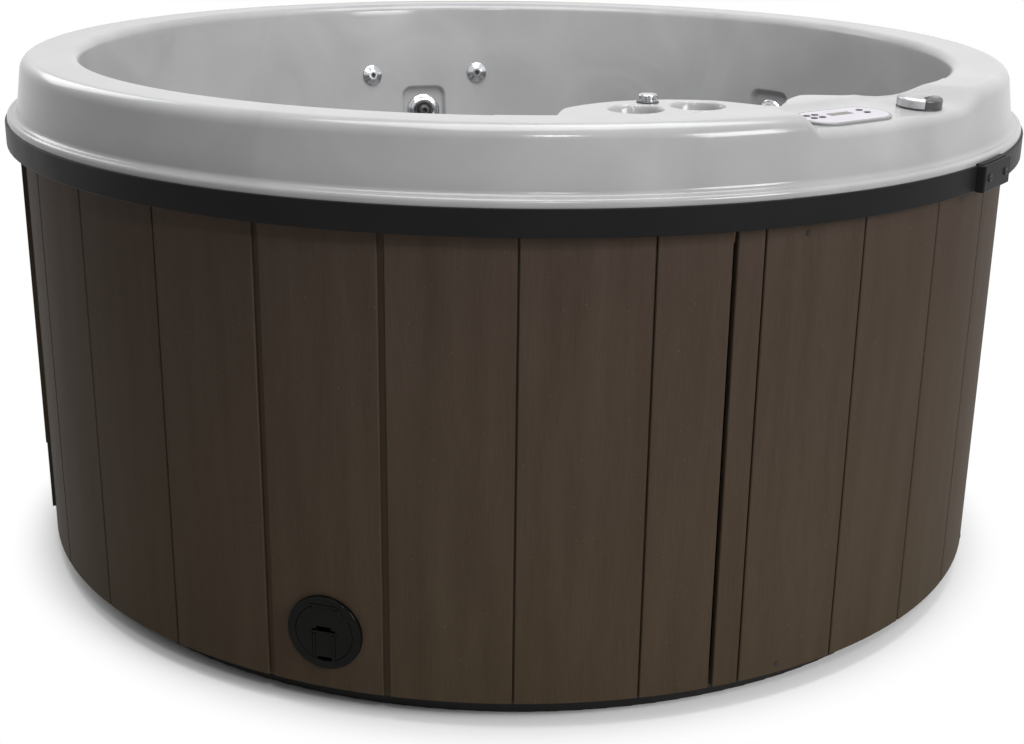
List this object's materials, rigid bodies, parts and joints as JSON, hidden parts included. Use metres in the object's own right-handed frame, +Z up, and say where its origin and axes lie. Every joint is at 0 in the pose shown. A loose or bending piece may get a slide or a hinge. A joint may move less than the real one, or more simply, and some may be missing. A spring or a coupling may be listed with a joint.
{
  "type": "hot tub",
  "caption": "Round acrylic hot tub in a cabinet of upright boards, with turning jets and valves, a keyed control panel, a pull-off service door and a hinged cord hatch.",
  "frame": {"origin": "on the ground under the tub's upright axis, at the centre of the base pan's underside", "axes": "+Z up the tub's axis, -Y towards the front with the cord hatch, +X towards the viewer's right"},
  "size_m": [1.98, 1.98, 0.9846],
  "materials": {
    "pearl_acrylic": "polished silver-grey acrylic with faint marbling",
    "black_plastic": "matt black moulded plastic",
    "frame_timber": "sawn treated timber",
    "brown_board": "dark brown composite with a fine upright grain",
    "band_black": "satin black extruded plastic",
    "screw_steel": "plated steel",
    "panel_grey": "smooth grey plastic",
    "panel_pale": "pale satin overlay",
    "display_dark": "olive-grey display window",
    "key_dark": "dark rubbery key caps",
    "valve_silver": "silver painted plastic",
    "valve_dark": "dark grey plastic",
    "chrome_plate": "bright chrome plate",
    "fitting_dark": "dark moulded plastic",
    "fitting_grey": "mid-grey moulded plastic",
    "pipe_white": "white pressure pipe",
    "filter_cloth": "pleated white filter cloth",
    "motor_paint": "dark blue painted motor case",
    "pack_grey": "grey moulded case",
    "heater_steel": "brushed steel tube",
    "hatch_black": "glossy black moulded plastic"
  },
  "bodies": {
    "tub": {"acrylic_shell": "pearl_acrylic", "base_pan": "black_plastic", "lower_frame_ring": "frame_timber", "upper_frame_ring": "frame_timber", "frame_posts": "frame_timber", "footwell_support": "frame_timber", "cabinet_board_1": "brown_board", "cabinet_board_2": "brown_board", "cabinet_board_3": "brown_board", "cabinet_board_4": "brown_board", "cabinet_board_5": "brown_board", "cabinet_board_6": "brown_board", "cabinet_board_7": "brown_board", "cabinet_board_8": "brown_board", "rear_boards": "brown_board", "proud_board": "brown_board", "lower_strip": "black_plastic", "trim_band": "band_black", "band_clip": "band_black", "band_clip_screws": "screw_steel", "control_housing": "panel_grey", "control_face": "panel_pale", "control_display": "display_dark", "valve_body": "valve_dark", "air_knob_seat": "fitting_dark", "small_jet_bodies": "fitting_dark", "large_jet_bodies": "fitting_dark", "suction_covers": "fitting_grey", "filter_grille": "fitting_grey", "filter_cartridge": "filter_cloth", "pump_motor": "motor_paint", "pump_wet_end": "fitting_dark", "equipment_pack": "pack_grey", "heater": "heater_steel", "water_pipes": "pipe_white", "ring_main": "pipe_white", "hatch_bezel": "hatch_black", "hatch_screws": "screw_steel", "hatch_lid_pin": "screw_steel"},
    "service_door": {"door_boards": "brown_board", "door_battens": "frame_timber", "door_screws": "screw_steel"},
    "hatch_lid": {"hatch_lid": "hatch_black", "hatch_flap_pin": "screw_steel"},
    "hatch_flap": {"hatch_flap": "hatch_black"},
    "valve_handle": {"valve_handle": "valve_silver", "valve_grip": "valve_dark"},
    "air_knob": {"air_knob": "chrome_plate"},
    "control_key_1": {"control_key_1": "key_dark"},
    "control_key_2": {"control_key_2": "key_dark"},
    "control_key_3": {"control_key_3": "key_dark"},
    "control_key_4": {"control_key_4": "key_dark"},
    "control_key_5": {"control_key_5": "key_dark"},
    "control_key_6": {"control_key_6": "key_dark"},
    "small_jet_face_1": {"small_jet_face_1": "chrome_plate"},
    "large_jet_ring_1": {"large_jet_ring_1": "chrome_plate"},
    "large_jet_nozzle_1": {"large_jet_nozzle_1": "fitting_dark"},
    "small_jet_face_2": {"small_jet_face_2": "chrome_plate"},
    "large_jet_ring_2": {"large_jet_ring_2": "chrome_plate"},
    "large_jet_nozzle_2": {"large_jet_nozzle_2": "fitting_dark"}
  },
  "joints": [
    {"name": "service_door_pull", "type": "slide", "parent": "tub", "child": "service_door", "axis": [0.7587, -0.6514, 0], "range_m": [0, 0.35]},
    {"name": "hatch_lid_hinge", "type": "hinge", "parent": "tub", "child": "hatch_lid", "pos_m": [-0.29851, -0.91872, 0.196], "axis": [-0.9511, 0.309, 0], "range_deg": [0, 100]},
    {"name": "hatch_flap_hinge", "type": "hinge", "parent": "hatch_lid", "child": "hatch_flap", "pos_m": [-0.29851, -0.91872, 0.149], "axis": [-0.9511, 0.309, 0], "range_deg": [0, 90]},
    {"name": "valve_turn", "type": "hinge", "parent": "tub", "child": "valve_handle", "pos_m": [0.66472, -0.61075, 0.96412], "axis": [0.0385, -0.0354, 0.9986], "range_deg": [-90, 90]},
    {"name": "air_knob_turn", "type": "hinge", "parent": "tub", "child": "air_knob", "pos_m": [0.22505, -0.53884, 0.955], "axis": [0, 0, 1], "range_deg": [0, 180]},
    {"name": "control_key_1_press", "type": "slide", "parent": "tub", "child": "control_key_1", "axis": [-0.0302, 0.0427, -0.9986], "range_m": [0, 0.0007], "stiffness_N_per_m": 400},
    {"name": "control_key_2_press", "type": "slide", "parent": "tub", "child": "control_key_2", "axis": [-0.0302, 0.0427, -0.9986], "range_m": [0, 0.0007], "stiffness_N_per_m": 400},
    {"name": "control_key_3_press", "type": "slide", "parent": "tub", "child": "control_key_3", "axis": [-0.0302, 0.0427, -0.9986], "range_m": [0, 0.0007], "stiffness_N_per_m": 400},
    {"name": "control_key_4_press", "type": "slide", "parent": "tub", "child": "control_key_4", "axis": [-0.0302, 0.0427, -0.9986], "range_m": [0, 0.0007], "stiffness_N_per_m": 400},
    {"name": "control_key_5_press", "type": "slide", "parent": "tub", "child": "control_key_5", "axis": [-0.0302, 0.0427, -0.9986], "range_m": [0, 0.0007], "stiffness_N_per_m": 400},
    {"name": "control_key_6_press", "type": "slide", "parent": "tub", "child": "control_key_6", "axis": [-0.0302, 0.0427, -0.9986], "range_m": [0, 0.0007], "stiffness_N_per_m": 400},
    {"name": "small_jet_turn_1", "type": "hinge", "parent": "tub", "child": "small_jet_face_1", "pos_m": [-0.35677, 0.75135, 0.815], "axis": [0.4265, -0.8982, 0.1062], "range_deg": [0, 90]},
    {"name": "small_jet_turn_2", "type": "hinge", "parent": "tub", "child": "small_jet_face_2", "pos_m": [-0.09704, 0.82607, 0.815], "axis": [0.116, -0.9876, 0.1062], "range_deg": [0, 90]},
    {"name": "large_jet_turn_1", "type": "hinge", "parent": "tub", "child": "large_jet_ring_1", "pos_m": [-0.23261, 0.80065, 0.72073], "axis": [0.2774, -0.9549, 0.1062], "range_deg": [0, 120]},
    {"name": "large_jet_aim_1", "type": "hinge", "parent": "tub", "child": "large_jet_nozzle_1", "pos_m": [-0.23178, 0.79778, 0.72104], "axis": [0.9603, 0.279, 0], "range_deg": [-15, 15]},
    {"name": "large_jet_turn_2", "type": "hinge", "parent": "tub", "child": "large_jet_ring_2", "pos_m": [0.61434, 0.56888, 0.75373], "axis": [-0.7296, -0.6756, 0.1062], "range_deg": [0, 120]},
    {"name": "large_jet_aim_2", "type": "hinge", "parent": "tub", "child": "large_jet_nozzle_2", "pos_m": [0.61215, 0.56685, 0.75404], "axis": [0.6794, -0.7337, 0], "range_deg": [-15, 15]}
  ]
}
